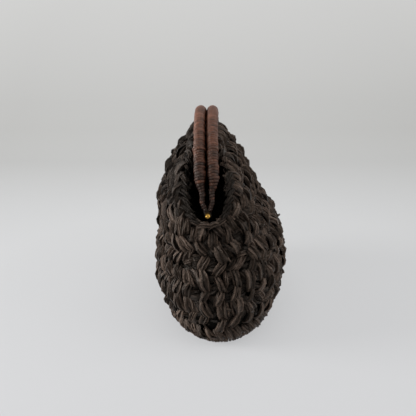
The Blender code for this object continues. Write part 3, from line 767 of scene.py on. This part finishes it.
def make_ground(name, turns, low, high, closed):
    """A thin closed mat inside the wall, between two heights of each column."""
    sheets = []
    for depth in (GROUND_DEPTH, GROUND_DEPTH + GROUND_THICKNESS):
        sheet = []
        for turn in turns:
            climbs, lengths = wall_profile(turn, low)
            heights = pouch_points(turn, climbs)[:, 2]
            ends = [np.interp(height, np.maximum.accumulate(heights), lengths) for height in (low, high)]
            reached = np.linspace(ends[0], min(ends[1], lengths[-1] - GROUND_RIM_GAP), GROUND_ROWS)
            row_climbs = np.interp(reached, lengths, climbs)
            place, out, up, side = wall_frames(np.full(GROUND_ROWS, turn), row_climbs)
            rise = GROUND_RIM_RISE * smooth(1 - (lengths[-1] - reached) / GROUND_RIM_LENGTH)
            sheet.append(place - out * (depth - rise)[:, None])
        sheets.append(np.array(sheet))
    shape = bmesh.new()
    grids = [[[shape.verts.new(point) for point in column] for column in sheet] for sheet in sheets]
    spans = len(turns) if closed else len(turns) - 1
    for a in range(spans):
        b = (a + 1) % len(turns)
        for row in range(GROUND_ROWS - 1):
            for grid, flip in zip(grids, (False, True)):
                corners = [grid[a][row], grid[b][row], grid[b][row + 1], grid[a][row + 1]]
                shape.faces.new(reversed(corners) if flip else corners)
        for row in (0, GROUND_ROWS - 1):
            shape.faces.new([grids[0][a][row], grids[0][b][row], grids[1][b][row], grids[1][a][row]])
    if not closed:
        for column in (0, len(turns) - 1):
            outer, inner = grids[0][column], grids[1][column]
            for row in range(GROUND_ROWS - 1):
                shape.faces.new([outer[row], outer[row + 1], inner[row + 1], inner[row]])
    mesh = finished_mesh(shape, name, ground_raffia)
    mesh.shade_smooth()
    piece = add_object(name, mesh)
    return piece


ground_turns = equal_turns(1.0, GROUND_COLUMNS)
lower_ground = make_ground("lower_ground", ground_turns, GROUND_FOOT_HEIGHT, LOWER_WALL_TOP + GROUND_OVERLAP,
                           closed=True)
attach(lower_ground, "pouch")
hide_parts("foot_wall", "belly_wall")

# Front and back panels
# Above the belly the wall parts at the hinges into a front and a back panel, each caught to its arch. On the
# real bag the weave bends along the line between the hinges as an arch swings out; here the pieces stay as
# laid.
EDGING_STEP, EDGING_DEPTH, EDGING_INSET, EDGING_RISE, EDGING_FLATNESS = 0.0112, 0.0105, 0.0040, 0.20, 0.98
FRONT_EDGING_WAYS, BACK_EDGING_WAY, EDGING_SIZES, RIM_CLIMB = (-0.1, 0.4), 0.15, (0.88, 1.12), 1.999
INNER_EDGING_DEPTH, INNER_EDGING_SPAN, INNER_EDGING_PAINTED_SHADE = 0.0066, 0.45, 0.6
CORD_STEP, CORD_DROP, CORD_DEPTH, CORD_SPAN = 0.0075, 0.0030, 0.0024, 0.2
CORD_CAUGHT, CORD_TAPER, CAUGHT_CORD_DROP, SLIT_PAINTED_SHADE = 0.62, 0.15, -0.0004, 1.6
CORD_END_SIZE, CORD_SWELL, CORD_SIZES, CORD_FACING = 0.5, 0.6, (0.92, 1.08), 0.7
edging = dict(width=0.0092, length=0.0172, height=0.0092, size_spread=0.20, lean=math.radians(72),
              lean_spread=math.radians(16), tip_spread=math.radians(11))
cord = dict(width=0.0056, length=0.0140, height=0.0056, size_spread=0.12, lean=math.radians(6),
            lean_spread=math.radians(6), tip_spread=math.radians(4))


def bend_with_arch(piece, label):
    """Bakes a panel piece where it lies, and hides the fold and panel parts it stands for."""
    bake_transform(piece)
    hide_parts(label + "_fold", label + "_panel")


def rim_frames(step):
    """Turns at equal steps along the mouth's edge, with the wall's place and directions there."""
    rim = pouch_points(np.linspace(0, 2 * math.pi, FINE_TURNS), 2.0)
    count = int(lengths_along(rim)[-1] / step)
    turns = equal_turns(2.0, count, 0.5)
    return count, turns, *wall_frames(turns, np.full(count, RIM_CLIMB))


def edging_spots(seed):
    """Stitches over the mouth's edge, square to it."""
    draw = np.random.default_rng(seed)
    count, turns, place, out, up, side = rim_frames(EDGING_STEP)
    place = place - EDGING_DEPTH * up - EDGING_INSET * out
    way = np.where(np.sin(turns) < 0, draw.uniform(*FRONT_EDGING_WAYS, count), BACK_EDGING_WAY)
    return {"place": place, "out": EDGING_RISE * up + EDGING_FLATNESS * out, "way": way, "turn": turns,
            "up": EDGING_RISE * out - EDGING_FLATNESS * up, "size": draw.uniform(*EDGING_SIZES, count),
            "deep_dye": upper_front_darkening(turns, place)}


def cord_spots(seed):
    """Bundles laid end to end along the mouth's edge."""
    draw = np.random.default_rng(seed)
    count, turns, place, out, up, side = rim_frames(CORD_STEP)
    from_end = np.abs(np.sin(turns))
    caught = from_end > CORD_CAUGHT
    place = place - np.where(caught, CAUGHT_CORD_DROP, CORD_DROP)[:, None] * up - CORD_DEPTH * out
    swell = CORD_END_SIZE + CORD_SWELL * smooth((from_end - CORD_CAUGHT) / CORD_TAPER)
    # Cord bundles along the open slit are darkened as painted shade from the hollow.
    in_slit = ~caught & (from_end > CORD_SPAN)
    return {"place": place, "out": CORD_FACING * up + CORD_FACING * out, "up": side, "turn": turns,
            "way": np.ones(count), "size": np.where(caught, swell, 1.0) * draw.uniform(*CORD_SIZES, count),
            "deep_dye": np.where(in_slit, SLIT_PAINTED_SHADE, upper_front_darkening(turns, place))}


def inner_edging_spots():
    """One row of stitches on the inner face behind the edging, where the edge is caught to its arch."""
    count, turns, place, out, up, side = rim_frames(EDGING_STEP)
    place = place - EDGING_DEPTH * up - INNER_EDGING_DEPTH * out
    # These stitches face into the pouch and are darkened as painted shade.
    spots = {"place": place, "out": -out, "up": up, "turn": turns, "way": np.ones(count),
             "size": np.ones(count), "deep_dye": INNER_EDGING_PAINTED_SHADE + upper_front_darkening(turns, place)}
    return chosen(spots, np.abs(np.sin(turns)) > INNER_EDGING_SPAN)


rim_layers = ((edging_spots(21), edging), (cord_spots(22), cord), (inner_edging_spots(), inner_stitches))
for side, label in ((-1, "front"), (1, "back")):
    panel_weave = weave_wall(label + "_weave", lambda spots: (spots["place"][:, 2] >= LOWER_WALL_TOP)
                             & (side * np.sin(spots["turn"]) >= 0), seed=30 + side)
    bend_with_arch(panel_weave, label)
    edge_layers = [lay_stitches(f"{label}_edge_{number}", chosen(spots, side * np.sin(spots["turn"]) >= 0),
                                seed=40 + number, **amounts)
                   for number, (spots, amounts) in enumerate(rim_layers)]
    panel_edging = join_pieces(label + "_edging", edge_layers)
    bend_with_arch(panel_edging, label)
    half_turns = ground_turns[:GROUND_COLUMNS // 2 + 1] + (math.pi if side < 0 else 0)
    panel_ground = make_ground(label + "_ground", half_turns, LOWER_WALL_TOP - GROUND_OVERLAP, ABOVE_THE_RIM,
                               closed=False)
    bend_with_arch(panel_ground, label)

for pattern in [*full_stitches.objects, *slim_stitches.objects, *plump_loops.objects]:
    bpy.data.objects.remove(pattern, do_unlink=True)

# Wound handles
# Each wire arch is bound with one long raffia ribbon, padded to a plump grip over the top and thin down
# the legs, almost to the hinges.
GRIP_RADIUS, LEG_RADIUS, LEG_END_RADIUS, GRIP_START, SHOULDER_DROP = 0.0053, 0.0028, 0.0022, 0.027, 0.007
PADDING_START, PADDING_FULL = 0.0200, 0.0325
LUMP_HEIGHT, LUMP_HALF_WIDTH = 0.0009, math.radians(1.3)
GRIP_OFFSET, LEG_OFFSET, ROD_BEND_HEIGHT, RIBBON_END = 0.0059, 0.0042, 0.010, 0.0032
RIBBON_WIDTH, RIBBON_THICKNESS, RIBBON_PITCH = 0.0035, 0.0017, 0.0025
LEG_PAINTED_SHADE, LEG_SHADE_START, LEG_SHADE_RISE, ARCH_POINTS = 2.0, 0.012, 0.062, 181
grip_raffia = make_raffia("grip_raffia", dark=(0.009, 0.003, 0.002), middle=(0.070, 0.0255, 0.0145),
                          pale=(0.200, 0.082, 0.050), roughness=0.34, gloss=0.32, relief=0.7)
for side, label, lump_angle in ((-1, "front", math.radians(44)), (1, "back", math.radians(118))):
    end_angle = math.asin(RIBBON_END / ARCH_RISE)
    angle = np.linspace(end_angle, math.pi - end_angle, ARCH_POINTS)
    up = ARCH_RISE * np.sin(angle)
    padded = smooth((up - GRIP_START + SHOULDER_DROP) / SHOULDER_DROP)
    across = (LEG_OFFSET + (GRIP_OFFSET - LEG_OFFSET) * padded) * np.minimum(1, up / ROD_BEND_HEIGHT)
    arch = np.stack([HINGE_HALF_SPAN * np.cos(angle), hinge[1] + side * across - math.tan(FRAME_TILT) * up,
                     hinge[2] + up], axis=-1)
    forward = unit(np.gradient(arch, axis=0))
    sideways = unit(np.array((0.0, 1.0, 0.0)) - forward * forward[:, 1:2])
    leg = LEG_END_RADIUS + (LEG_RADIUS - LEG_END_RADIUS) * smooth((up - RIBBON_END) / PADDING_START)
    core = leg + (GRIP_RADIUS - leg) * smooth((up - PADDING_START) / (PADDING_FULL - PADDING_START))
    core -= RIBBON_THICKNESS / 2
    core += LUMP_HEIGHT * np.exp(-((angle - lump_angle) / LUMP_HALF_WIDTH) ** 2)
    # Painted shade: the ribbon darkens down the legs towards the hinges, where they sit low in the slit.
    painted_shade = LEG_PAINTED_SHADE * (1 - smooth((up - LEG_SHADE_START) / LEG_SHADE_RISE))
    winding = wind(label + "_winding", arch, sideways, core, painted_shade, closed=False,
                   turns=int(lengths_along(arch)[-1] / RIBBON_PITCH), steps_per_turn=16, strands=1,
                   strand_width=RIBBON_WIDTH, strand_thickness=RIBBON_THICKNESS,
                   wobble=WINDING_WOBBLE, seed=60 + side, finish=grip_raffia)
    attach(winding, label + "_arch")
    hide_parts(label + "_grip_winding", label + "_near_leg_sleeve", label + "_far_leg_sleeve")

# Wire arches and hinge rivets
# Each arch is one length of dull drawn wire, flattened to an eye at both ends. A brass rivet with a
# polished ball head holds the eyes of both arches at each end of the bag.
POLISH_SPREAD = 0.1


def make_metal(name, dark, pale, roughness, scale):
    """Metal with faint drawn or polished streaks and a little tarnish."""
    material, tree, shader = start_material(name)
    shader.inputs["Metallic"].default_value = 1.0
    body = add_node(tree, "ShaderNodeTexCoord").outputs["Object"]
    tarnish = noise(tree, body, scale, detail=3.0)
    tree.links.new(colour_ramp(tree, tarnish, ((0.35, dark), (0.65, pale))), shader.inputs["Base Color"])
    rough = between(tree, tarnish, roughness + POLISH_SPREAD, roughness - POLISH_SPREAD)
    tree.links.new(rough, shader.inputs["Roughness"])
    return material


wire = make_metal("drawn_wire", dark=(0.02, 0.017, 0.015), pale=(0.05, 0.043, 0.036), roughness=0.45,
                  scale=400.0)
brass = make_metal("polished_brass", dark=(0.30, 0.165, 0.032), pale=(0.52, 0.31, 0.068), roughness=0.2,
                   scale=250.0)
for node, metal in (("front_rod", wire), ("back_rod", wire),
                    ("near_hinge_rivet", brass), ("far_hinge_rivet", brass)):
    slots = frame["nodes"][node].data.materials
    slots.clear()
    slots.append(metal)

# Floor, light and camera
# The bag stands on a pale floor before a pale wall, in soft light from the upper left. The camera looks
# down a little at the near end of the bag, as in the photograph.
WALL_DISTANCE, ROOM_SIZE, ROOM_CURVE, CURVE_STEPS = 0.68, 3.0, 0.10, 8
profile = [(ROOM_SIZE, 0.0), (-WALL_DISTANCE + ROOM_CURVE, 0.0)]
for step in range(1, CURVE_STEPS + 1):
    angle = step / CURVE_STEPS * math.pi / 2
    profile.append((-WALL_DISTANCE + ROOM_CURVE * (1 - math.sin(angle)), ROOM_CURVE * (1 - math.cos(angle))))
profile.append((-WALL_DISTANCE, ROOM_SIZE))
room_shape = bmesh.new()
lines = [[room_shape.verts.new((x, y, z)) for x, z in profile] for y in (-ROOM_SIZE, ROOM_SIZE)]
for step in range(len(profile) - 1):
    room_shape.faces.new([lines[0][step], lines[1][step], lines[1][step + 1], lines[0][step + 1]])
room_mesh = finished_mesh(room_shape, "floor_and_wall")
room_mesh.shade_smooth()
SEEN_SHARE = 0.72


def seen_rays(tree):
    """1 where a surface is looked at, also through a reflection, and 0 where it only lights the rest."""
    rays = add_node(tree, "ShaderNodeLightPath").outputs
    return maths(tree, "MAXIMUM", rays["Is Camera Ray"], maths(tree, "MAXIMUM", rays["Is Glossy Ray"],
                                                               rays["Is Transmission Ray"]))


room_paint, tree, paint = start_material("room_paint")
paint.inputs["Roughness"].default_value = 0.8
body = add_node(tree, "ShaderNodeTexCoord").outputs["Object"]
# Painted light: the floor's own colour is pale near the bag and dark further off, so it throws back less
# light.
distance = add_node(tree, "ShaderNodeVectorMath", {0: body}, operation="LENGTH").outputs["Value"]
tree.links.new(colour_ramp(tree, distance, ((0.30, (0.60, 0.605, 0.61)), (0.80, (0.22, 0.22, 0.22)))),
               paint.inputs["Base Color"])
# Painted light and shade on the room: the glow is brightest high on the wall, dimmest at its foot.
split = add_node(tree, "ShaderNodeSeparateXYZ", {0: body}).outputs
depth = made(tree, "ShaderNodeMapRange", {"Value": maths(tree, "SUBTRACT", split["X"], split["Z"]),
                                          "From Min": -1.1, "From Max": 0.5})
tone = colour_ramp(tree, depth, ((0.0, (0.82, 0.82, 0.81)), (0.24, (0.60, 0.60, 0.585)),
                                 (0.50, (0.625, 0.63, 0.632)), (0.80, (0.645, 0.648, 0.66))))
glow = made(tree, "ShaderNodeEmission", {"Color": tone})
seen = times(tree, seen_rays(tree), SEEN_SHARE)
mixed = add_node(tree, "ShaderNodeMixShader", {0: seen, 1: paint.outputs[0], 2: glow})
tree.links.new(mixed.outputs[0], tree.nodes["Material Output"].inputs["Surface"])
room_mesh.materials.append(room_paint)
add_object("floor_and_wall", room_mesh)

world = bpy.data.worlds.new("soft_room")
world.use_nodes = True
WORLD_LIGHT, WORLD_SEEN = 0.25, 0.62
background = world.node_tree.nodes["Background"]
background.inputs["Color"].default_value = (0.80, 0.81, 0.82, 1)
strength = between(world.node_tree, seen_rays(world.node_tree), WORLD_LIGHT, WORLD_SEEN)
world.node_tree.links.new(strength, background.inputs["Strength"])
bpy.context.scene.world = world
LIGHT_TARGET = Vector((0, 0, 0.08))
for label, place, size, energy in (("window_light", (0.1, -1.3, 0.45), 0.7, 25.0),
                                   ("room_light", (0.2, 1.3, 0.6), 1.2, 9.0),
                                   ("ceiling_light", (0.0, 0.2, 1.9), 2.0, 26.0)):
    lamp_data = bpy.data.lights.new(label, "AREA")
    lamp_data.energy = energy
    lamp_data.size = size
    lamp = bpy.data.objects.new(label, lamp_data)
    lamp.location = place
    lamp.rotation_euler = (LIGHT_TARGET - lamp.location).to_track_quat("-Z", "Y").to_euler()
    bpy.context.scene.collection.objects.link(lamp)

CAMERA_PITCH, CAMERA_DISTANCE, FOCAL_PIXELS, IMAGE_PIXELS = math.radians(19.7), 0.650, 622.0, 416.0
CAMERA_TARGET = Vector((0, 0, 0.080))
AXIS_PIXEL = (220.3, 223.2)
camera_data = bpy.data.cameras.new("camera")
camera_data.sensor_width = 36.0
camera_data.lens = FOCAL_PIXELS / IMAGE_PIXELS * camera_data.sensor_width
camera_data.shift_x = -(AXIS_PIXEL[0] - IMAGE_PIXELS / 2) / IMAGE_PIXELS
camera_data.shift_y = (AXIS_PIXEL[1] - IMAGE_PIXELS / 2) / IMAGE_PIXELS
camera = bpy.data.objects.new("camera", camera_data)
camera_way = Vector((math.cos(CAMERA_PITCH), 0, math.sin(CAMERA_PITCH)))
camera.location = CAMERA_TARGET + CAMERA_DISTANCE * camera_way
camera.rotation_euler = (CAMERA_TARGET - camera.location).to_track_quat("-Z", "Y").to_euler()
bpy.context.scene.collection.objects.link(camera)
bpy.context.scene.camera = camera
bpy.context.scene.view_settings.view_transform = "Standard"
